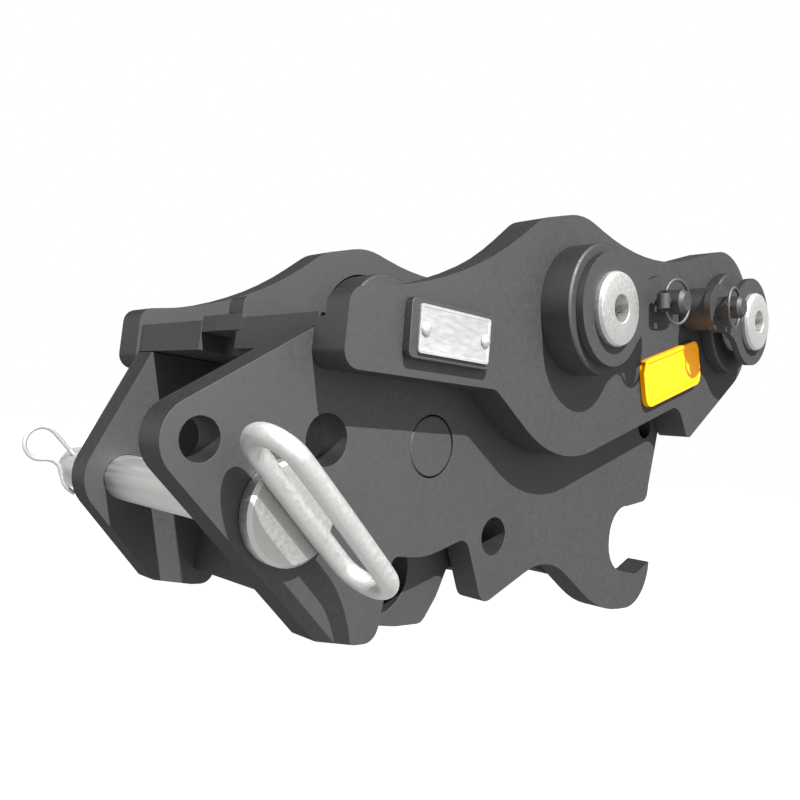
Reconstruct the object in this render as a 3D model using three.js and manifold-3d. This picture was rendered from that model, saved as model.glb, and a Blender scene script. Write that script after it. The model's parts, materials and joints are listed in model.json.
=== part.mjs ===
// Pin-grabber quick coupler for a 20-tonne excavator.
// Millimetres, +Z up, +X towards the front hook, +Y towards the far side.
// Everything is drawn about the machine's mid-plane (y = 0) and moved at the end so that the
// origin is at the bottom centre of the bounding box. The near side is -Y, where the keepers are.
// Side-view outlines are lists of [x, z, r]: a corner and the radius that rounds it.
import * as THREE from 'three';
import { mergeVertices } from 'three/addons/utils/BufferGeometryUtils.js';
import Module from 'manifold-3d';

const wasm = await Module();
wasm.setup();

// ---------------------------------------------------------------- driving dimensions
const GAP = 0.3;
const CHORD_ERROR = 0.2;
const PLATE_INNER = 123;
const PLATE_OUTER = 154.7;
const CHEEK_INNER = 155.3;
const CHEEK_OUTER = 196;
const STICK_BOSS_FACE = 231.5;
const LINK_BOSS_FACE = 213;
const BOSS_INBOARD = 105;
const BOSS_HOLE_GAP = 2.4;

const PIN_R = 40;
const PIN_NEAR_END = -250;
const PIN_FAR_END = 240;
const PIN_SOCKET_R = 14.9;
const BOSS_TUBE_R = 66.4;
const BOSS_COLLAR_R = 71;
const STICK = [-11.3, 347.1];
const LINK = [365.9, 406.2];

const KEEPER_REACH = 110;
const KEEPER_BIG_R = 61;
const KEEPER_SMALL_R = 32;
const KEEPER_WAIST_R = 60;
const KEEPER_FACE = 240;
const KEEPER_BACK = 231.8;
const KEEPER_PIN_R = 14.3;
const KEEPER_PIN_END = 270.5;
const KEEPER_PIN_CHAMFER = 4;
const KEEPER_SPACER_R = 28;
const STICK_KEEPER_ANGLE = 15.4;
const LINK_KEEPER_ANGLE = 181.4;
const LYNCH_Y = -255;
const STICK_LYNCH = { angle: 9, ringTilt: 7 };
const LINK_LYNCH = { angle: 188, ringTilt: 6 };
const LYNCH_RING_R = 25.3;
const LYNCH_WIRE_R = 1.75;
const LYNCH_PIN_R = 4.2;
const LYNCH_PIN_TIP = 21.9;
const LYNCH_DRUM_R = 7;
const LYNCH_DRUM_HALF = 8.2;
const LYNCH_DRUM_OFFSET = 27;

const JAW_PIVOT = [-180.2, 181.5];
const JAW_PIN_R = 30;
const JAW_HOLE_R = 31.1;
const JAW_HALF_WIDTH = 116;
const JAW_HUB_R = 50;
const THROAT_R = 40;
const ROD_PIN = [-122, 112];
const ROD_PIN_R = 17;
const ROD_EYE_R = 34;
const ROD_EYE_BORE_R = 24;
const OPEN_PIVOT_CLEARANCE = 2.6;
const JAW_SLOT_HALF_WIDTH = 32;
const JAW_SLOT_R = 38.5;

const BASE_PIN = [244, 243];
const BASE_PIN_R = 17;
const BASE_PIN_HALF = 127.5;
const BASE_EYE_R = 34;
const BARREL_R = 52.5;
const BARREL_BORE_R = 40;
const BARREL_START = 30;
const BARREL_END = 235;
const GLAND_END = 262;
const ROD_R = 25;
const PISTON_START = 175;
const PISTON_END = 205;
const EYE_HALF_WIDTH = 28;
const PORT_R = 13;

const SAFETY = [-350, 115];
const SAFETY_R = 24;
const SAFETY_HEAD_R = 44;
const SAFETY_HEAD_DEPTH = 14;
const SAFETY_FAR_END = 248;
const HANDLE_CENTRE = [-352, 118];
const HANDLE_ROD_R = 8.8;
const HANDLE_STRAIGHT = 120;
const HANDLE_NEAR_Y = -178.5;
const HANDLE_FAR_Y = -232.6;
const HANDLE_ANGLE = -41.4;
const CLIP_Y = 222;
const CLIP_WIRE_R = 2.6;
const CLIP_ANGLE = 137;

const PINHOLE_EAR = [-435, 167, 17.6];
const PINHOLE_UPPER = [-313.4, 176.7, 23];
const PINHOLE_LOWER = [-68.8, 94.1, 20.3];

const CROSS_REAR = -337.5;
const CROSS_FRONT = -200;
const CROSS_BOTTOM = 253;
const CROSS_TOP = 283;

// ---------------------------------------------------------------- materials
function material(color, roughness, metalness) {
  return new THREE.MeshStandardMaterial({ color, roughness, metalness });
}
const paint = () => material(0x5f5f5f, 0.6, 0.1);
const darkPaint = () => material(0x4a4a4a, 0.65, 0.1);
const plated = () => material(0xe4e2df, 0.35, 0.7);
const zinc = () => material(0xc9c8c5, 0.4, 0.6);
const yellow = () => material(0xffd21a, 0.45, 0.0);

// ---------------------------------------------------------------- geometry helpers
const rad = THREE.MathUtils.degToRad;

// Adds an arc to a list of points, with chords that stay within CHORD_ERROR of the arc.
function addArc(points, [x, z], r, start, sweep) {
  const step = 2 * Math.acos(1 - CHORD_ERROR / r);
  const count = Math.max(2, Math.ceil(Math.abs(sweep) / step));
  for (let i = 0; i <= count; i += 1) {
    const angle = start + (sweep * i) / count;
    points.push(new THREE.Vector2(x + r * Math.cos(angle), z + r * Math.sin(angle)));
  }
}

// Adds a polygon's corner, rounded with its radius between the corners before and after it.
function addCorner(points, before, corner, after) {
  const p = new THREE.Vector2(corner[0], corner[1]);
  const r = corner[2];
  if (r === 0) {
    points.push(p);
    return;
  }
  const toBefore = new THREE.Vector2(before[0], before[1]).sub(p).normalize();
  const toAfter = new THREE.Vector2(after[0], after[1]).sub(p).normalize();
  const half = Math.acos(toBefore.dot(toAfter)) / 2;
  const middle = toBefore.clone().add(toAfter).normalize();
  const centre = p.clone().addScaledVector(middle, r / Math.sin(half));
  const start = p.clone().addScaledVector(toBefore, r / Math.tan(half)).sub(centre);
  const turn = toBefore.cross(toAfter) > 0 ? -1 : 1;
  addArc(points, [centre.x, centre.y], r, Math.atan2(start.y, start.x), turn * (Math.PI - 2 * half));
}

function outline(corners) {
  const points = [];
  corners.forEach((corner, i) => {
    const before = corners[(i + corners.length - 1) % corners.length];
    const after = corners[(i + 1) % corners.length];
    addCorner(points, before, corner, after);
  });
  return new THREE.Shape(points);
}

function circlePoints(x, z, r) {
  const points = [];
  addArc(points, [x, z], r, 0, 2 * Math.PI);
  points.pop();
  return points;
}

const disc = (x, z, r) => new THREE.Shape(circlePoints(x, z, r));
const hole = (x, z, r) => new THREE.Path(circlePoints(x, z, r));

// Extrudes a side-view shape across the machine, from y = yMin to y = yMax.
function slab(shape, yMin, yMax) {
  const geometry = new THREE.ExtrudeGeometry(shape, { depth: yMax - yMin, bevelEnabled: false });
  geometry.rotateX(Math.PI / 2);
  geometry.translate(0, yMax, 0);
  return geometry;
}

// Turns a profile of [r, y] about an axis along Y through [x, z].
function turned(profile, [x, z], segments = 36) {
  const points = profile.map(([r, y]) => new THREE.Vector2(r, y));
  const geometry = new THREE.LatheGeometry(points, segments);
  geometry.translate(x, 0, z);
  return geometry;
}

// A plain or end-chamfered round bar along Y.
function bar(radius, yMin, yMax, centre, chamfer = 0, segments = 36) {
  const profile = [[0, yMin]];
  if (chamfer > 0) profile.push([radius - chamfer, yMin]);
  profile.push([radius, yMin + chamfer]);
  profile.push([radius, yMax - chamfer]);
  if (chamfer > 0) profile.push([radius - chamfer, yMax]);
  profile.push([0, yMax]);
  return turned(profile, centre, segments);
}

// A tube along Y with chamfered outer edges.
function tube(outer, inner, yMin, yMax, centre, chamfer = 0, segments = 36) {
  const profile = [[inner, yMin], [outer - chamfer, yMin]];
  if (chamfer > 0) profile.push([outer, yMin + chamfer]);
  if (chamfer > 0) profile.push([outer, yMax - chamfer]);
  profile.push([outer - chamfer, yMax], [inner, yMax], [inner, yMin]);
  return turned(profile, centre, segments);
}

function toSolid(source) {
  const geometry = source.clone();
  geometry.deleteAttribute('normal');
  geometry.deleteAttribute('uv');
  const merged = mergeVertices(geometry, 1e-3);
  const index = merged.index.array;
  const triangles = [];
  for (let i = 0; i < index.length; i += 3) {
    const [a, b, c] = [index[i], index[i + 1], index[i + 2]];
    if (a !== b && b !== c && c !== a) triangles.push(a, b, c);
  }
  return new wasm.Manifold(new wasm.Mesh({
    numProp: 3,
    vertProperties: new Float32Array(merged.attributes.position.array),
    triVerts: new Uint32Array(triangles),
  }));
}

function toGeometry(solid) {
  const mesh = solid.getMesh();
  const geometry = new THREE.BufferGeometry();
  geometry.setAttribute('position', new THREE.BufferAttribute(mesh.vertProperties, 3));
  geometry.setIndex(new THREE.BufferAttribute(mesh.triVerts, 1));
  return geometry;
}

function cut(body, ...tools) {
  let solid = toSolid(body);
  for (const tool of tools) solid = solid.subtract(toSolid(tool));
  return toGeometry(solid);
}

function join(...pieces) {
  let solid = toSolid(pieces[0]);
  for (const piece of pieces.slice(1)) solid = solid.add(toSolid(piece));
  return toGeometry(solid);
}

// Round wire along a curve.
function wire(curve, radius, steps, sides = 8) {
  const section = new THREE.Shape();
  for (let i = 0; i < sides; i += 1) {
    const angle = (i * 2 * Math.PI) / sides;
    const point = [radius * Math.cos(angle), radius * Math.sin(angle)];
    if (i === 0) section.moveTo(...point);
    else section.lineTo(...point);
  }
  section.closePath();
  return new THREE.ExtrudeGeometry(section, { steps, extrudePath: curve, bevelEnabled: false });
}

// Turns a geometry in the side view about [x, z], from +X towards +Z.
function turnInSideView(geometry, [x, z], degrees) {
  geometry.translate(-x, 0, -z);
  geometry.rotateY(-rad(degrees));
  geometry.translate(x, 0, z);
  return geometry;
}

function polar([x, z], distance, degrees) {
  return [x + distance * Math.cos(rad(degrees)), z + distance * Math.sin(rad(degrees))];
}

// ---------------------------------------------------------------- the assembly
const model = new THREE.Group();

function add(name, geometry, look) {
  const mesh = new THREE.Mesh(geometry, look);
  mesh.name = name;
  model.add(mesh);
}

const SIDES = [{ side: 'near', sign: -1 }, { side: 'far', sign: 1 }];

// The span from |y| = a to |y| = b on one side of the mid-plane, in rising order.
function span(sign, a, b) {
  return sign < 0 ? [-b, -a] : [a, b];
}

// ---------------------------------------------------------------- side plates
// The shared stretch runs from the toe along the pin roof, the belly and the front hook to the top.
const LOWER_AND_FRONT = [
  [-255, -2, 20], [-230, -2, 16], [-218, 76, 8], [-175, 73, 100], [-113.5, 92.7, 14],
  [-77.5, 21.2, 14], [38, 72.4, 90], [165, -2, 180], [290, -2, 57], [289, 58, 0], [254, 42, 30],
  [175.5, 53, 40], [175.5, 133, 39], [216, 133, 0], [267, 142, 14], [270, 170, 20], [285, 248, 20],
  [292, 300, 10], [250, 300, 30], [60, 272, 30], [-170, 272, 30], [-195, 252, 20],
];
const NEAR_EAR = [[-338, 252, 0], [-339, 270, 0], [-489, 170, 33], [-302, 6, 4]];
const FAR_EAR = [[-338.7, 252, 0], [-403.4, 106.6, 45], [-304, 5, 4]];

function sidePlate(side, sign) {
  const ear = side === 'near' ? NEAR_EAR : FAR_EAR;
  const shape = outline([...LOWER_AND_FRONT, ...ear]);
  const holes = [
    PINHOLE_UPPER,
    PINHOLE_LOWER,
    [...JAW_PIVOT, JAW_HOLE_R],
    [...BASE_PIN, BASE_PIN_R + GAP],
    [...SAFETY, SAFETY_R + 0.6],
  ];
  if (side === 'near') holes.push(PINHOLE_EAR);
  for (const [x, z, r] of holes) shape.holes.push(hole(x, z, r));
  add(`${side}_side_plate`, slab(shape, ...span(sign, PLATE_INNER, PLATE_OUTER)), paint());
}

// ---------------------------------------------------------------- cheeks and bosses
const CHEEK = [
  [-341, 235, 16], [-142, 243, 15], [-24, 171.6, 150], [252, 273.5, 26], [284, 234.5, 8],
  [294, 234, 6], [469, 356, 100], [469, 509, 100], [350, 509, 100], [140, 429, 430],
  [-18, 455, 100], [-92, 429, 60], [-214, 325.5, 440], [-341, 301.5, 16],
];
// The near cheek is thinned along its upper rear edge; the cut fades out towards the crest.
const RELIEF_DEPTH = 12;
const RELIEF_BOTTOM = 278;
const RELIEF_TAPER_START = -175;
const RELIEF_FRONT = -80;

function cheek(side, sign) {
  const shape = outline(CHEEK);
  for (const [x, z] of [STICK, LINK]) shape.holes.push(hole(x, z, BOSS_TUBE_R + BOSS_HOLE_GAP));
  const plate = slab(shape, ...span(sign, CHEEK_INNER, CHEEK_OUTER));
  if (side === 'far') {
    add('far_cheek', plate, paint());
    return;
  }
  const relief = upright(
    [[-345, -CHEEK_INNER + 1, 0], [-345, -CHEEK_INNER - RELIEF_DEPTH, 0],
      [RELIEF_TAPER_START, -CHEEK_INNER - RELIEF_DEPTH, 0], [RELIEF_FRONT, -CHEEK_INNER, 0],
      [RELIEF_FRONT, -CHEEK_INNER + 1, 0]],
    RELIEF_BOTTOM, 460,
  );
  add('near_cheek', cut(plate, relief), paint());
}

// A boss tube through the cheek with a wider collar welded outside it.
function boss(name, sign, centre, face) {
  const bore = PIN_R + GAP;
  const collarStart = CHEEK_OUTER + GAP;
  const profile = [
    [bore, BOSS_INBOARD], [BOSS_TUBE_R - 2, BOSS_INBOARD], [BOSS_TUBE_R, BOSS_INBOARD + 2],
    [BOSS_TUBE_R, collarStart], [BOSS_COLLAR_R, collarStart], [BOSS_COLLAR_R, face - 2],
    [BOSS_COLLAR_R - 2, face], [bore, face], [bore, BOSS_INBOARD],
  ];
  const geometry = turned(profile, [0, 0], 44);
  if (sign < 0) geometry.rotateX(Math.PI);
  geometry.translate(centre[0], 0, centre[1]);
  add(name, geometry, paint());
}

// ---------------------------------------------------------------- cross members
// The rear cross plate has a U-shaped notch in its rear edge for a lifting hook.
const NOTCH_NEAR = -31;
const NOTCH_FAR = 29.5;
const NOTCH_DEPTH = 42;
const LIFT_BAR_NEAR = -42;
const LIFT_BAR_BOTTOM = 271;
const LIFT_BAR_TOP = 287;
const LIFT_BAR_SEAT_DEPTH = NOTCH_DEPTH;

function upright(corners, zMin, zMax) {
  const options = { depth: zMax - zMin, bevelEnabled: false };
  const geometry = new THREE.ExtrudeGeometry(outline(corners), options);
  geometry.translate(0, 0, zMin);
  return geometry;
}

function rearCrossPlate() {
  const half = CHEEK_INNER - 0.6;
  const plan = [
    [CROSS_REAR, -half, 0], [CROSS_FRONT, -half, 0], [CROSS_FRONT, half, 0], [CROSS_REAR, half, 0],
    [CROSS_REAR, NOTCH_FAR, 0], [CROSS_REAR + NOTCH_DEPTH, NOTCH_FAR, 14],
    [CROSS_REAR + NOTCH_DEPTH, NOTCH_NEAR, 14], [CROSS_REAR, NOTCH_NEAR, 3],
  ];
  const barSeat = upright(
    [[CROSS_REAR - 5, LIFT_BAR_NEAR - GAP, 0], [CROSS_REAR + LIFT_BAR_SEAT_DEPTH, LIFT_BAR_NEAR - GAP, 0],
      [CROSS_REAR + LIFT_BAR_SEAT_DEPTH, 0, 0], [CROSS_REAR - 5, 0, 0]],
    LIFT_BAR_BOTTOM - GAP, LIFT_BAR_TOP,
  );
  add('rear_cross_plate', cut(upright(plan, CROSS_BOTTOM, CROSS_TOP), barSeat), paint());
}

// The lift bar bridges the notch and is let into the plate on the near side; its rear is crowned.
function liftBar() {
  const near = LIFT_BAR_NEAR;
  const far = NOTCH_FAR - GAP;
  const front = CROSS_REAR + LIFT_BAR_SEAT_DEPTH - GAP;
  const plan = [
    [CROSS_REAR, near, 0], [front, near, 3], [front, far, 14], [CROSS_REAR + 0.5, far, 0],
    [CROSS_REAR - 1, 2, 40],
  ];
  add('lift_bar', upright(plan, LIFT_BAR_BOTTOM, LIFT_BAR_TOP), paint());
}

const LUG_HALF = 13;
const LUG_SHIFT = 6;

function liftingLug() {
  const side = [
    [-315, CROSS_TOP + GAP, 0], [-228, CROSS_TOP + GAP, 0], [-236, 312, 20], [-315, 312, 8],
  ];
  const lug = slab(outline(side), -LUG_HALF + LUG_SHIFT, LUG_HALF + LUG_SHIFT);
  const barTopClearance = upright(
    [[-320, -20, 0], [CROSS_REAR + LIFT_BAR_SEAT_DEPTH, -20, 0],
      [CROSS_REAR + LIFT_BAR_SEAT_DEPTH, 28, 0], [-320, 28, 0]],
    CROSS_TOP, LIFT_BAR_TOP + GAP,
  );
  add('lifting_lug', cut(lug, barTopClearance), paint());
}

function rearToePlate() {
  const side = [[-255, 15, 3], [-236, 15, 3], [-234, 105, 3], [-250, 105, 3], [-251, 59, 60]];
  add('rear_toe_plate', slab(outline(side), -PLATE_INNER + GAP, PLATE_INNER - GAP), darkPaint());
}

function frontHookBlock() {
  const side = [
    [45, 53, 6], [97, 42, 60], [168, 30, 20], [186, 28, 3], [172, 52, 16], [168, 135, 6],
    [150, 140, 6], [45, 95, 6],
  ];
  add('front_hook_block', slab(outline(side), -PLATE_INNER + GAP, PLATE_INNER - GAP), darkPaint());
}

// ---------------------------------------------------------------- machine pins and their keepers
function machinePin(name, centre) {
  const [near, far] = [PIN_NEAR_END, PIN_FAR_END];
  const profile = [
    [0, near + 32], [PIN_SOCKET_R, near + 32], [PIN_SOCKET_R, near + 0.8], [PIN_SOCKET_R + 0.8, near],
    [PIN_R - 5, near], [PIN_R - 1.6, near + 1.4], [PIN_R, near + 5], [PIN_R, far - 4],
    [PIN_R - 4, far], [0, far],
  ];
  add(name, turned(profile, centre, 44), plated());
}

// Arcs that meet give their meeting point twice; one is enough.
function withoutRepeats(points) {
  return points.filter((point, i) => point.distanceTo(points[(i + 1) % points.length]) > 1e-6);
}

// A two-lobed keeper: a big lobe round the machine pin and a small lobe on the keeper pin.
function keeperPlate(name, centre, angle) {
  const bigReach = KEEPER_BIG_R + KEEPER_WAIST_R;
  const smallReach = KEEPER_SMALL_R + KEEPER_WAIST_R;
  const waistX = (bigReach ** 2 - smallReach ** 2 + KEEPER_REACH ** 2) / (2 * KEEPER_REACH);
  const waistZ = Math.sqrt(bigReach ** 2 - waistX ** 2);
  const big = Math.atan2(waistZ, waistX);
  const small = Math.atan2(waistZ, waistX - KEEPER_REACH);
  const points = [];
  addArc(points, [0, 0], KEEPER_BIG_R, big, 2 * (Math.PI - big));
  addArc(points, [waistX, -waistZ], KEEPER_WAIST_R, Math.PI - big, big - small);
  addArc(points, [KEEPER_REACH, 0], KEEPER_SMALL_R, -small, 2 * small);
  addArc(points, [waistX, waistZ], KEEPER_WAIST_R, small - Math.PI, big - small);
  const shape = new THREE.Shape(withoutRepeats(points));
  shape.holes.push(hole(0, 0, PIN_R + 0.5));
  shape.holes.push(hole(KEEPER_REACH, 0, KEEPER_PIN_R + GAP));
  const geometry = slab(shape, -KEEPER_FACE, -KEEPER_BACK);
  turnInSideView(geometry, [0, 0], angle);
  geometry.translate(centre[0], 0, centre[1]);
  add(name, geometry, paint());
}

function keeperSet(prefix, centre, angle, lynch) {
  const post = polar(centre, KEEPER_REACH, angle);
  keeperPlate(`${prefix}_keeper_plate`, centre, angle);
  const bore = KEEPER_PIN_R + GAP;
  const spacer = tube(KEEPER_SPACER_R, bore, -KEEPER_BACK + GAP, -CHEEK_OUTER - GAP, post, 1, 28);
  add(`${prefix}_keeper_spacer`, spacer, paint());
  const profile = [
    [0, -KEEPER_PIN_END], [KEEPER_PIN_R - KEEPER_PIN_CHAMFER, -KEEPER_PIN_END],
    [KEEPER_PIN_R, -KEEPER_PIN_END + KEEPER_PIN_CHAMFER], [KEEPER_PIN_R, -CHEEK_OUTER - GAP],
    [0, -CHEEK_OUTER - GAP],
  ];
  const crossHole = alongLynch(bar(LYNCH_PIN_R + GAP, -40, 40, [0, 0], 0, 24), post, lynch.angle);
  add(`${prefix}_keeper_pin`, cut(turned(profile, post, 28), crossHole), paint());
  lynchPin(prefix, post, lynch);
}

// Lays a piece that was made along Y in the lynch pin's place across the keeper pin: its -Y end
// becomes the head end, and its X axis then points outwards from the keeper.
function alongLynch(geometry, post, angle) {
  geometry.rotateZ(-Math.PI / 2);
  geometry.rotateY(-rad(angle));
  geometry.translate(post[0], LYNCH_Y, post[1]);
  return geometry;
}

// The lynch pin's head is a short cross drum that carries a spring ring round the keeper pin.
function lynchPin(prefix, post, { angle, ringTilt }) {
  const shaft = bar(LYNCH_PIN_R, -LYNCH_DRUM_OFFSET, LYNCH_PIN_TIP, [0, 0], 1.5, 20);
  const drum = new THREE.CylinderGeometry(LYNCH_DRUM_R, LYNCH_DRUM_R, 2 * LYNCH_DRUM_HALF, 24);
  drum.rotateX(Math.PI / 2);
  drum.translate(0, -LYNCH_DRUM_OFFSET, 0);
  add(`${prefix}_lynch_pin`, alongLynch(join(drum, shaft), post, angle), zinc());
  const endAngle = Math.asin((LYNCH_DRUM_HALF + GAP + LYNCH_WIRE_R) / LYNCH_RING_R);
  const ring = wire(new RingPath(Math.PI + endAngle, 2 * (Math.PI - endAngle)), LYNCH_WIRE_R, 28);
  ring.translate(0, LYNCH_DRUM_OFFSET, 0);
  ring.rotateZ(-rad(ringTilt));
  ring.translate(0, -LYNCH_DRUM_OFFSET, 0);
  add(`${prefix}_lynch_ring`, alongLynch(ring, post, angle), zinc());
}

// An open circle about the keeper pin, square to X, that starts and ends beside the head drum.
class RingPath extends THREE.Curve {
  constructor(start, sweep) {
    super();
    this.start = start;
    this.sweep = sweep;
  }

  getPoint(t, target = new THREE.Vector3()) {
    const angle = this.start + this.sweep * t;
    return target.set(0, LYNCH_RING_R * Math.cos(angle), LYNCH_RING_R * Math.sin(angle));
  }
}

// ---------------------------------------------------------------- locking jaw
const JAW = [
  [-230.2, 231.5, JAW_HUB_R], [-230, 92, 12], [-155, 92, THROAT_R], [-155, 12, THROAT_R],
  [-215, 12, 3], [-215, 4, 4], [-165, -1.9, 60], [-126, -1.9, 13], [-107, 25, 40], [-94, 55, 6],
  [-74, 55, 12], [-74, 158, 38], [-130.2, 231.5, JAW_HUB_R],
];

// The slot that lets the rod eye in: a fan that opens forwards from the rod pin.
function rodSlot() {
  const [upper, lower] = [24, -14];
  const apexReach = JAW_SLOT_R / Math.sin(rad((upper - lower) / 2));
  const apex = polar(ROD_PIN, apexReach, (upper + lower) / 2 + 180);
  const far = 320;
  const fan = [[...apex, JAW_SLOT_R], [...polar(apex, far, lower), 0], [...polar(apex, far, upper), 0]];
  return slab(outline(fan), -JAW_SLOT_HALF_WIDTH, JAW_SLOT_HALF_WIDTH);
}

function jaw() {
  const shape = outline(JAW);
  shape.holes.push(hole(...JAW_PIVOT, JAW_PIN_R + GAP));
  shape.holes.push(hole(...ROD_PIN, ROD_PIN_R + GAP));
  const body = slab(shape, -JAW_HALF_WIDTH, JAW_HALF_WIDTH);
  add('jaw', cut(body, rodSlot()), darkPaint());
  add('jaw_pivot_pin', bar(JAW_PIN_R, -PLATE_OUTER + 0.5, PLATE_OUTER - 0.5, JAW_PIVOT, 1), paint());
  add('rod_pin', bar(ROD_PIN_R, -JAW_HALF_WIDTH + 2, JAW_HALF_WIDTH - 2, ROD_PIN, 1.5, 32), zinc());
  for (const { side, sign } of SIDES) {
    const [from, to] = span(sign, JAW_HALF_WIDTH + GAP, PLATE_INNER - GAP);
    add(`${side}_jaw_washer`, tube(46, JAW_PIN_R + GAP, from, to, JAW_PIVOT, 1), zinc());
  }
}

// ---------------------------------------------------------------- hydraulic cylinder
// Cylinder parts are made along +X from the base pin and then laid along the line to the rod pin.
const STROKE_LINE = [ROD_PIN[0] - BASE_PIN[0], ROD_PIN[1] - BASE_PIN[1]];
const CYLINDER_LENGTH = Math.hypot(...STROKE_LINE);
const CYLINDER_ANGLE = THREE.MathUtils.radToDeg(Math.atan2(STROKE_LINE[1], STROKE_LINE[0]));

function layCylinder(geometry) {
  geometry.rotateY(-rad(CYLINDER_ANGLE));
  geometry.translate(BASE_PIN[0], 0, BASE_PIN[1]);
  return geometry;
}

function lengthwise(profile, segments = 36) {
  const geometry = turned(profile, [0, 0], segments);
  geometry.rotateZ(-Math.PI / 2);
  return geometry;
}

function eye(centreX, radius, neck) {
  const lobe = slab(disc(centreX, 0, radius), -EYE_HALF_WIDTH, EYE_HALF_WIDTH);
  const [from, to] = neck;
  const shank = slab(outline([[from, -22, 0], [to, -22, 0], [to, 22, 0], [from, 22, 0]]), -22, 22);
  return join(lobe, shank);
}

function cylinder() {
  const tubeProfile = [
    [0, BARREL_START], [BARREL_R - 4, BARREL_START], [BARREL_R, BARREL_START + 4],
    [BARREL_R, BARREL_END - 2], [BARREL_R - 2, BARREL_END], [BARREL_BORE_R, BARREL_END],
    [BARREL_BORE_R, BARREL_START + 22], [0, BARREL_START + 22],
  ];
  const baseLug = eye(0, BASE_EYE_R, [10, BARREL_START + 6]);
  const body = join(lengthwise(tubeProfile), baseLug);
  const barrel = cut(body, bar(ROD_EYE_BORE_R, -40, 40, [0, 0]));
  add('cylinder_barrel', layCylinder(barrel), darkPaint());

  const glandProfile = [
    [ROD_R + GAP, BARREL_END + GAP], [BARREL_R - 4, BARREL_END + GAP], [BARREL_R - 4, GLAND_END - 8],
    [BARREL_R - 10, GLAND_END], [ROD_R + GAP, GLAND_END], [ROD_R + GAP, BARREL_END + GAP],
  ];
  add('cylinder_gland', layCylinder(lengthwise(glandProfile)), zinc());

  const pistonProfile = [
    [ROD_R - 9, PISTON_START], [BARREL_BORE_R - GAP, PISTON_START], [BARREL_BORE_R - GAP, PISTON_END],
    [ROD_R - 9, PISTON_END], [ROD_R - 9, PISTON_START],
  ];
  add('cylinder_piston', layCylinder(lengthwise(pistonProfile)), zinc());

  const rodProfile = [
    [0, PISTON_START - 6], [ROD_R - 9 - GAP, PISTON_START - 6], [ROD_R - 9 - GAP, PISTON_END + GAP],
    [ROD_R, PISTON_END + GAP], [ROD_R, CYLINDER_LENGTH - ROD_EYE_R + 6], [0, CYLINDER_LENGTH - ROD_EYE_R + 6],
  ];
  const rodLug = slab(disc(CYLINDER_LENGTH, 0, ROD_EYE_R), -EYE_HALF_WIDTH, EYE_HALF_WIDTH);
  const rodBore = bar(ROD_EYE_BORE_R, -40, 40, [CYLINDER_LENGTH, 0]);
  const rod = cut(join(lengthwise(rodProfile), rodLug), rodBore);
  add('cylinder_rod', layCylinder(rod), plated());

  const half = EYE_HALF_WIDTH;
  const rodBushBore = ROD_PIN_R + OPEN_PIVOT_CLEARANCE;
  add('rod_eye_bush', tube(ROD_EYE_BORE_R - GAP, rodBushBore, -half, half, ROD_PIN), zinc());
  add('base_eye_bush', tube(ROD_EYE_BORE_R - GAP, BASE_PIN_R + GAP, -half, half, BASE_PIN), zinc());
  add('cylinder_base_pin', bar(BASE_PIN_R, -BASE_PIN_HALF, BASE_PIN_HALF, BASE_PIN, 1.5), zinc());
  for (const { side, sign } of SIDES) {
    const [from, to] = span(sign, EYE_HALF_WIDTH + GAP, PLATE_INNER - GAP);
    add(`${side}_base_spacer`, tube(26, BASE_PIN_R + GAP, from, to, BASE_PIN, 1, 28), darkPaint());
    circlip(side, sign);
  }
  port('base_port', BARREL_START + 34);
  port('rod_port', BARREL_END - 24);
}

// The retaining ring that sits in the plate's bore outside the base pin, open at the top.
function circlip(side, sign) {
  const start = rad(110);
  const sweep = rad(320);
  const points = [];
  addArc(points, [0, 0], BASE_PIN_R, start, sweep);
  addArc(points, [0, 0], BASE_PIN_R - 4.5, start + sweep, -sweep);
  const geometry = slab(new THREE.Shape(points), ...span(sign, BASE_PIN_HALF + GAP, BASE_PIN_HALF + 2.5));
  geometry.translate(BASE_PIN[0], 0, BASE_PIN[1]);
  add(`${side}_base_circlip`, geometry, zinc());
}

// A hydraulic port: a hexagon boss with a threaded mouth on top of the barrel.
function port(name, along) {
  const boss = new THREE.CylinderGeometry(PORT_R, PORT_R, 20, 6);
  const mouth = new THREE.CylinderGeometry(PORT_R - 6, PORT_R - 6, 20, 24);
  mouth.translate(0, 8, 0);
  const geometry = cut(boss, mouth);
  geometry.rotateX(-Math.PI / 2);
  geometry.translate(along, 0, -BARREL_R - 10 - GAP);
  add(name, layCylinder(geometry), zinc());
}

// ---------------------------------------------------------------- safety pin
// The handle: a ring of round rod pulled out to a loop of two straight bars and two half circles.
function handleLoop() {
  const bend = (HANDLE_NEAR_Y - HANDLE_FAR_Y) / 2;
  const steps = 28;
  const loop = new THREE.TorusGeometry(bend, HANDLE_ROD_R, 12, steps);
  loop.rotateZ(Math.PI / steps);
  const { position } = loop.attributes;
  for (let i = 0; i < position.count; i += 1) {
    const x = position.getX(i);
    position.setX(i, x + (Math.sign(x) * HANDLE_STRAIGHT) / 2);
  }
  turnInSideView(loop, [0, 0], HANDLE_ANGLE);
  loop.translate(HANDLE_CENTRE[0], (HANDLE_NEAR_Y + HANDLE_FAR_Y) / 2, HANDLE_CENTRE[1]);
  return loop;
}

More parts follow.
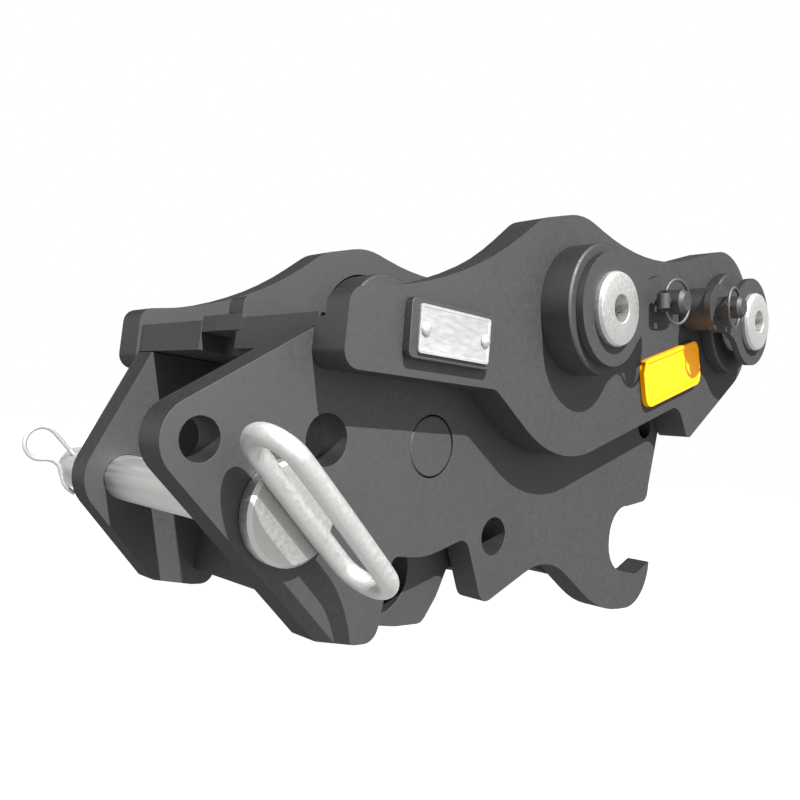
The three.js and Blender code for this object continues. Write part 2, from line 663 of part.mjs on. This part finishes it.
function safetyPin() {
  const head = -PLATE_OUTER - 0.6;
  const headTop = head - SAFETY_HEAD_DEPTH;
  const profile = [
    [0, headTop], [SAFETY_HEAD_R - 3, headTop], [SAFETY_HEAD_R, headTop + 3], [SAFETY_HEAD_R, head],
    [SAFETY_R, head], [SAFETY_R, SAFETY_FAR_END - 5], [SAFETY_R - 5, SAFETY_FAR_END],
    [0, SAFETY_FAR_END],
  ];
  const crossHole = bar(CLIP_WIRE_R + 0.6, -40, 40, [0, 0], 0, 20);
  crossHole.rotateZ(-Math.PI / 2);
  crossHole.rotateY(-rad(CLIP_ANGLE));
  crossHole.translate(SAFETY[0], CLIP_Y, SAFETY[1]);
  add('safety_pin', cut(turned(profile, SAFETY), crossHole), plated());
  add('safety_pin_handle', handleLoop(), plated());
}

// The hairpin clip: a straight leg through the safety pin, a round eye and a waved outer leg.
// Its route is drawn in the side view with the straight leg on the x axis, tip at negative x,
// and the waved leg far enough across that the clip pulls straight out past the pin.
const CLIP_EYE = [56.5, 18.1];
const CLIP_EYE_R = 18.1;

function hairpinClip() {
  const route = [[-33, 0], [-10, 0], [20, 0], [42, 0]];
  for (let angle = -90; angle <= 125; angle += 26.875) route.push(polar(CLIP_EYE, CLIP_EYE_R, angle));
  route.push([38.6, 24.8], [32.1, 21], [24.6, 20.1], [17.3, 22.6], [10, 26.8], [1.9, 29.6]);
  route.push([-6, 28.9], [-13, 27.6]);
  const points = route.map(([along, across]) => {
    const onAxis = polar(SAFETY, along, CLIP_ANGLE);
    const [x, z] = polar(onAxis, across, CLIP_ANGLE + 90);
    return new THREE.Vector3(x, CLIP_Y, z);
  });
  const path = new THREE.CatmullRomCurve3(points, false, 'centripetal');
  add('hairpin_clip', wire(path, CLIP_WIRE_R, 56), zinc());
}

// ---------------------------------------------------------------- plates on the near cheek
function tiltedPlate(centre, length, height, radius, tilt, yMin, yMax) {
  const [a, b] = [length / 2, height / 2];
  const shape = outline([[-a, -b, radius], [a, -b, radius], [a, b, radius], [-a, b, radius]]);
  const geometry = slab(shape, yMin, yMax);
  turnInSideView(geometry, [0, 0], tilt);
  geometry.translate(centre[0], 0, centre[1]);
  return geometry;
}

function nameplate() {
  const centre = [-220.5, 282.2];
  const tilt = 2.4;
  const padFace = -CHEEK_OUTER - 8.5;
  const plateFace = padFace - GAP - 2;
  add('nameplate_pad', tiltedPlate(centre, 114, 52.6, 6, tilt, padFace, -CHEEK_OUTER - GAP), darkPaint());
  add('nameplate', tiltedPlate(centre, 96, 42.7, 3, tilt, plateFace, padFace - GAP), plated());
  for (const [end, along] of [['rear', -40.5], ['front', 41]]) {
    const face = plateFace - GAP;
    const profile = [[0, face - 3.8], [2.8, face - 3.3], [5.1, face - 1.9], [6.2, face], [0, face]];
    add(`nameplate_rivet_${end}`, turned(profile, polar(centre, along, tilt), 20), plated());
  }
}

function badge() {
  const back = -CHEEK_OUTER - GAP;
  add('badge', tiltedPlate([216, 312], 156, 60, 14, 20, back - 7, back), yellow());
}

// ---------------------------------------------------------------- build
for (const { side, sign } of SIDES) {
  sidePlate(side, sign);
  cheek(side, sign);
  boss(`${side}_stick_boss`, sign, STICK, STICK_BOSS_FACE);
  boss(`${side}_link_boss`, sign, LINK, LINK_BOSS_FACE);
}
rearCrossPlate();
liftBar();
liftingLug();
rearToePlate();
frontHookBlock();
machinePin('stick_pin', STICK);
machinePin('link_pin', LINK);
keeperSet('stick', STICK, STICK_KEEPER_ANGLE, STICK_LYNCH);
keeperSet('link', LINK, LINK_KEEPER_ANGLE, LINK_LYNCH);
jaw();
cylinder();
safetyPin();
hairpinClip();
nameplate();
badge();

const bounds = new THREE.Box3().setFromObject(model);
const middle = bounds.getCenter(new THREE.Vector3());
for (const mesh of model.children) {
  mesh.geometry.translate(-middle.x, -middle.y, -bounds.min.z);
}

export default model;
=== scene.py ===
import json
import math

import bmesh
import bpy
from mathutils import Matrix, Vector


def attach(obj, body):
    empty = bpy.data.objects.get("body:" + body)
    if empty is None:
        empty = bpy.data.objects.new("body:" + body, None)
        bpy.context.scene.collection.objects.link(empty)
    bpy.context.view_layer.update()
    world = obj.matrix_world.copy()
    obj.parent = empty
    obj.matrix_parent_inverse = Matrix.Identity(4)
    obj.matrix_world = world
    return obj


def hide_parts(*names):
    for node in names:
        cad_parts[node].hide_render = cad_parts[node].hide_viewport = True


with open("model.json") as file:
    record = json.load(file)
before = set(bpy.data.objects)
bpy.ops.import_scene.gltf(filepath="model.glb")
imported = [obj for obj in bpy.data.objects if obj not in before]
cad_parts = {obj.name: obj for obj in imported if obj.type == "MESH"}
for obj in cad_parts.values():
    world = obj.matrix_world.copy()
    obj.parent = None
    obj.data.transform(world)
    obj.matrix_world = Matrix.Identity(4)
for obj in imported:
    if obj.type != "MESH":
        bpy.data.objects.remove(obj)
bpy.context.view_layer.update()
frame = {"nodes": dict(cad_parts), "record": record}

MM = 0.001
BODY_OF = {n: body for body, nodes in frame["record"]["behaviour"]["bodies"].items() for n in nodes}

CAMERA_PLACE = (-0.74447, -0.65325, 0.17641)
CAMERA_ANGLES = (93.690, -6.0837, -45.5596)
CAMERA_LENS = 35.122
SHARP = math.radians(32)
KEY_DIRECTION = (0.31, 1.0, -1.12)
KEY_STRENGTH = 12.0
KEY_SOFTNESS = 0.6
WORLD_STRENGTH = 1.0
FLOOR_GLOW = 1.0
FLOOR_REACH = 30.0
FLOOR_TONES = (0.028, 0.032)
PAINT_EDGE_TINT = 0.0
# Painted shade: the factor of the paint colour that faces looking upwards are darkened to.
UPWARD_SHADE = 0.5


# ---------------------------------------------------------------- materials
class Look:
    """A principled material with helpers that add procedural detail to it."""

    def __init__(self, name, metallic=0.0, edge_tint=1.0):
        self.material = bpy.data.materials.new(name)
        self.material.use_nodes = True
        self.tree = self.material.node_tree
        self.shader = self.tree.nodes["Principled BSDF"]
        self.shader.inputs["Metallic"].default_value = metallic
        self.shader.inputs["Specular IOR Level"].default_value = 0.35
        self.shader.inputs["Specular Tint"].default_value = (edge_tint, edge_tint, edge_tint, 1)
        self.place = self.tree.nodes.new("ShaderNodeTexCoord").outputs["Object"]
        self.height = None

    def link(self, source, target):
        self.tree.links.new(source, target)

    def node(self, kind, **inputs):
        made = self.tree.nodes.new(kind)
        for name, value in inputs.items():
            made.inputs[name.replace("_", " ")].default_value = value
        return made

    def noise(self, scale, detail=3.0, stretch=(1, 1, 1)):
        mapping = self.node("ShaderNodeMapping", Scale=stretch)
        self.link(self.place, mapping.inputs["Vector"])
        noise = self.node("ShaderNodeTexNoise", Scale=scale, Detail=detail)
        self.link(mapping.outputs["Vector"], noise.inputs["Vector"])
        return noise.outputs["Fac"]

    def spread(self, value, low, high, to_low, to_high):
        ramp = self.tree.nodes.new("ShaderNodeMapRange")
        settings = {"From Min": low, "From Max": high, "To Min": to_low, "To Max": to_high}
        for name, number in settings.items():
            ramp.inputs[name].default_value = number
        self.link(value, ramp.inputs["Value"])
        return ramp.outputs["Result"]

    def times(self, a, b):
        product = self.tree.nodes.new("ShaderNodeMath")
        product.operation = "MULTIPLY"
        self.link(a, product.inputs[0])
        self.link(b, product.inputs[1])
        return product.outputs[0]

    def mix(self, factor, a, b):
        mixer = self.tree.nodes.new("ShaderNodeMix")
        mixer.data_type = "RGBA"
        self.link(factor, mixer.inputs["Factor"])
        for socket, value in ((mixer.inputs[6], a), (mixer.inputs[7], b)):
            if isinstance(value, tuple):
                socket.default_value = (*value, 1)
            else:
                self.link(value, socket)
        return mixer.outputs[2]

    def edges(self, radius):
        """One on worn outer edges, zero on flat faces."""
        bevel = self.node("ShaderNodeBevel", Radius=radius)
        bevel.samples = 4
        normal = self.tree.nodes.new("ShaderNodeNewGeometry").outputs["Normal"]
        dot = self.tree.nodes.new("ShaderNodeVectorMath")
        dot.operation = "DOT_PRODUCT"
        self.link(bevel.outputs["Normal"], dot.inputs[0])
        self.link(normal, dot.inputs[1])
        return self.spread(dot.outputs["Value"], 0.999, 0.9, 0.0, 1.0)

    def upward(self):
        """Zero on upright and hanging faces, rising to one on faces that look upwards."""
        parts = self.tree.nodes.new("ShaderNodeSeparateXYZ")
        self.link(self.tree.nodes.new("ShaderNodeTexCoord").outputs["Normal"], parts.inputs[0])
        return self.spread(parts.outputs["Z"], 0.1, 0.6, 0.0, 1.0)

    def bump(self, value, strength, distance):
        bump = self.node("ShaderNodeBump", Strength=strength, Distance=distance)
        self.link(value, bump.inputs["Height"])
        if self.height is not None:
            self.link(self.height, bump.inputs["Normal"])
        self.height = bump.outputs["Normal"]

    def finish(self, colour, roughness):
        self.link(colour, self.shader.inputs["Base Color"])
        self.link(roughness, self.shader.inputs["Roughness"])
        if self.height is not None:
            self.link(self.height, self.shader.inputs["Normal"])
        return self.material


def shade(colour, factor):
    return tuple(channel * factor for channel in colour)


def painted(name, colour, roughness=0.65, metallic=0.9, wear=0.15):
    """Satin metallic paint: faint mottling, orange peel, rubbed edges, and painted shade that darkens
    faces looking upwards.
    """
    look = Look(name, metallic, PAINT_EDGE_TINT)
    broad = look.noise(7.0, 4.0)
    fine = look.noise(240.0, 3.0)
    body = look.mix(look.spread(broad, 0.3, 0.7, 0.0, 1.0), shade(colour, 0.97), shade(colour, 1.03))
    patchy = look.spread(look.noise(60.0, 5.0), 0.42, 0.62, 0.0, wear)
    worn = look.times(look.edges(1.0 * MM), patchy)
    clean = look.mix(worn, body, shade(colour, 1.4))
    # Painted shade: faces that look upwards are mixed towards a darker copy of the colour, standing in
    # for shade.
    upward_shade = look.times(look.upward(), look.spread(broad, 0.2, 0.8, 0.9, 1.0))
    tint = look.mix(upward_shade, clean, shade(colour, UPWARD_SHADE))
    look.bump(fine, 0.04, 0.2 * MM)
    return look.finish(tint, look.spread(fine, 0.3, 0.7, roughness - 0.06, roughness + 0.06))


def plated(name, colour, roughness, metallic, grain=(1, 1, 1)):
    """Plated steel: a fine grain, slight clouding, and paler rubbed edges."""
    look = Look(name, metallic)
    grains = look.noise(260.0, 2.0, grain)
    clouds = look.noise(22.0, 4.0)
    body = look.mix(look.spread(clouds, 0.3, 0.7, 0.0, 1.0), shade(colour, 0.97), shade(colour, 1.02))
    worn = look.times(look.edges(1.0 * MM), look.spread(look.noise(90.0), 0.4, 0.65, 0.0, 0.5))
    tint = look.mix(worn, body, shade(colour, 1.25))
    look.bump(grains, 0.03, 0.12 * MM)
    return look.finish(tint, look.spread(grains, 0.25, 0.75, roughness - 0.08, roughness + 0.1))


LOOKS = {
    "body": painted("body grey paint", (0.088, 0.088, 0.088)),
    "inner": painted("cylinder grey paint", (0.07, 0.07, 0.07)),
    "pin": plated("plated pins", (0.46, 0.455, 0.445), 0.5, 1.0, grain=(1, 0.05, 1)),
    "round": plated("plated bar", (0.5, 0.495, 0.485), 0.6, 1.0),
    "zinc": plated("zinc hardware", (0.2, 0.2, 0.197), 0.5, 1.0),
    "keeper zinc": plated("dull zinc", (0.1, 0.1, 0.098), 0.6, 1.0),
    "chrome": plated("hard chrome", (0.5, 0.5, 0.5), 0.12, 1.0),
    "bronze": plated("bronze", (0.3, 0.2, 0.1), 0.4, 0.8),
    "tag": plated("brushed tag", (0.5, 0.496, 0.49), 0.6, 1.0, grain=(0.3, 1, 1)),
    "yellow": painted("yellow enamel", (0.85, 0.34, 0.004), 0.5, 0.0, 0.1),
}


# ---------------------------------------------------------------- pieces
def publish(piece, node, look):
    piece.data.materials.clear()
    piece.data.materials.append(LOOKS[look])
    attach(piece, BODY_OF[node])
    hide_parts(node)
    return piece


def new_object(name, mesh):
    piece = bpy.data.objects.new(name, mesh)
    bpy.context.scene.collection.objects.link(piece)
    return piece


def soften(piece, width, segments=2):
    bevel = piece.modifiers.new("edges", "BEVEL")
    bevel.width = width
    bevel.segments = segments
    bevel.limit_method = "ANGLE"
    bevel.angle_limit = SHARP
    bevel.harden_normals = True


def smooth(mesh):
    for polygon in mesh.polygons:
        polygon.use_smooth = True
    mesh.set_sharp_from_angle(angle=SHARP)


def welded_copy(node):
    """The node's own shape as an editable mesh whose triangles share their corners."""
    shape = bmesh.new()
    shape.from_mesh(frame["nodes"][node].data)
    bmesh.ops.remove_doubles(shape, verts=shape.verts, dist=0.005 * MM)
    return shape


def to_piece(shape, node):
    mesh = bpy.data.meshes.new(node)
    shape.to_mesh(mesh)
    shape.free()
    smooth(mesh)
    return new_object(f"{node}.fine", mesh)


def dissolve_flats(shape):
    bmesh.ops.dissolve_limit(shape, angle_limit=math.radians(0.5), verts=shape.verts, edges=shape.edges)


def refined(node, look, width):
    """The node's own shape with broken edges and smooth curved walls."""
    shape = welded_copy(node)
    dissolve_flats(shape)
    piece = to_piece(shape, node)
    soften(piece, width)
    return publish(piece, node, look)


def framed(node, look, rim, step, width):
    """A plate with a raised rim round a sunken field on its near face."""
    shape = welded_copy(node)
    dissolve_flats(shape)
    shape.faces.ensure_lookup_table()
    front = min(shape.faces, key=lambda face: face.normal.y * face.calc_area())
    bmesh.ops.inset_region(shape, faces=[front], thickness=rim, depth=0.0)
    bmesh.ops.inset_region(shape, faces=[front], thickness=step, depth=-step)
    piece = to_piece(shape, node)
    soften(piece, width)
    return publish(piece, node, look)


def rounded(node, look, sides, radius):
    """Round bar: the faceted bar made round, with its radius kept."""
    shape = welded_copy(node)
    dissolve_flats(shape)
    shape.normal_update()
    kept = (2.0 + math.cos(math.tau / sides)) / 3.0
    grow = radius * (1.0 / kept - 1.0)
    for vertex in shape.verts:
        vertex.co += vertex.normal * grow
    piece = to_piece(shape, node)
    finer = piece.modifiers.new("round", "SUBSURF")
    finer.levels = 2
    finer.render_levels = 2
    return publish(piece, node, look)


REFINED = {
    "body": [
        "near_side_plate", "far_side_plate", "near_cheek", "far_cheek", "rear_cross_plate", "lift_bar",
        "lifting_lug", "rear_toe_plate", "front_hook_block", "jaw", "jaw_pivot_pin",
        "near_stick_boss", "far_stick_boss", "near_link_boss", "far_link_boss",
        "stick_keeper_plate", "link_keeper_plate", "stick_keeper_spacer", "link_keeper_spacer",
        "stick_keeper_pin", "link_keeper_pin", "nameplate_pad",
    ],
    "inner": ["cylinder_barrel", "near_base_spacer", "far_base_spacer"],
    "pin": ["stick_pin", "link_pin", "safety_pin"],
    "zinc": ["near_jaw_washer", "far_jaw_washer", "rod_pin", "cylinder_gland", "cylinder_base_pin",
             "base_port", "rod_port", "cylinder_piston", "near_base_circlip", "far_base_circlip"],
    "keeper zinc": ["stick_lynch_pin", "link_lynch_pin"],
    "chrome": ["cylinder_rod"],
    "bronze": ["rod_eye_bush", "base_eye_bush"],
    "tag": ["nameplate_rivet_rear", "nameplate_rivet_front"],
}
DEFAULT_EDGE = 0.5
EDGE_WIDTH = {
    "nameplate_rivet_rear": 0.2, "nameplate_rivet_front": 0.2, "nameplate_pad": 0.8,
    "stick_keeper_plate": 0.8, "link_keeper_plate": 0.8, "stick_lynch_pin": 0.4, "link_lynch_pin": 0.4,
    "near_base_circlip": 0.2, "far_base_circlip": 0.2, "base_port": 0.6, "rod_port": 0.6,
}
for look, nodes in REFINED.items():
    for node in nodes:
        refined(node, look, EDGE_WIDTH.get(node, DEFAULT_EDGE) * MM)

# Each round bar's look, the number of flats round it, and its radius in millimetres.
ROUND_BARS = {
    "safety_pin_handle": ("round", 12, 8.8),
    "hairpin_clip": ("round", 8, 2.6),
    "stick_lynch_ring": ("keeper zinc", 8, 1.75),
    "link_lynch_ring": ("keeper zinc", 8, 1.75),
}
for node, (look, sides, radius) in ROUND_BARS.items():
    rounded(node, look, sides, radius * MM)

framed("nameplate", "tag", rim=2.5 * MM, step=0.4 * MM, width=0.3 * MM)
framed("badge", "yellow", rim=5.0 * MM, step=1.6 * MM, width=0.8 * MM)


# ---------------------------------------------------------------- floor, light, camera
def studio():
    mesh = bpy.data.meshes.new("floor")
    signs = [(-1, -1), (1, -1), (1, 1), (-1, 1)]
    corners = [(FLOOR_REACH * x, FLOOR_REACH * y, 0) for x, y in signs]
    mesh.from_pydata(corners, [], [(0, 1, 2, 3)])
    floor = new_object("floor", mesh)
    white = Look("studio floor")
    white.shader.inputs["Emission Color"].default_value = (1, 1, 1, 1)
    white.shader.inputs["Emission Strength"].default_value = FLOOR_GLOW
    dark, light = [(tone, tone, tone) for tone in FLOOR_TONES]
    tone = white.mix(white.noise(2.0), dark, light)
    white.finish(tone, white.spread(white.noise(40.0), 0, 1, 0.85, 0.95))
    floor.data.materials.append(white.material)
    floor.visible_diffuse = False
    floor.visible_glossy = False
    world = bpy.data.worlds.new("studio")
    world.use_nodes = True
    world.node_tree.nodes["Background"].inputs["Color"].default_value = (1, 1, 1, 1)
    world.node_tree.nodes["Background"].inputs["Strength"].default_value = WORLD_STRENGTH
    bpy.context.scene.world = world
    sun("key", KEY_DIRECTION, KEY_STRENGTH, KEY_SOFTNESS)


def sun(name, direction, strength, softness):
    data = bpy.data.lights.new(name, "SUN")
    data.energy = strength
    data.angle = math.radians(softness)
    light = new_object(name, data)
    light.rotation_mode = "QUATERNION"
    light.rotation_quaternion = Vector(direction).to_track_quat("-Z", "Y")


def camera():
    data = bpy.data.cameras.new("camera")
    data.lens = CAMERA_LENS
    data.sensor_width = 36.0
    data.clip_start = 0.01
    data.clip_end = 100.0
    eye = new_object("camera", data)
    eye.location = CAMERA_PLACE
    eye.rotation_euler = [math.radians(angle) for angle in CAMERA_ANGLES]
    bpy.context.scene.camera = eye


studio()
camera()
bpy.context.scene.view_settings.view_transform = "Standard"
bpy.context.view_layer.update()
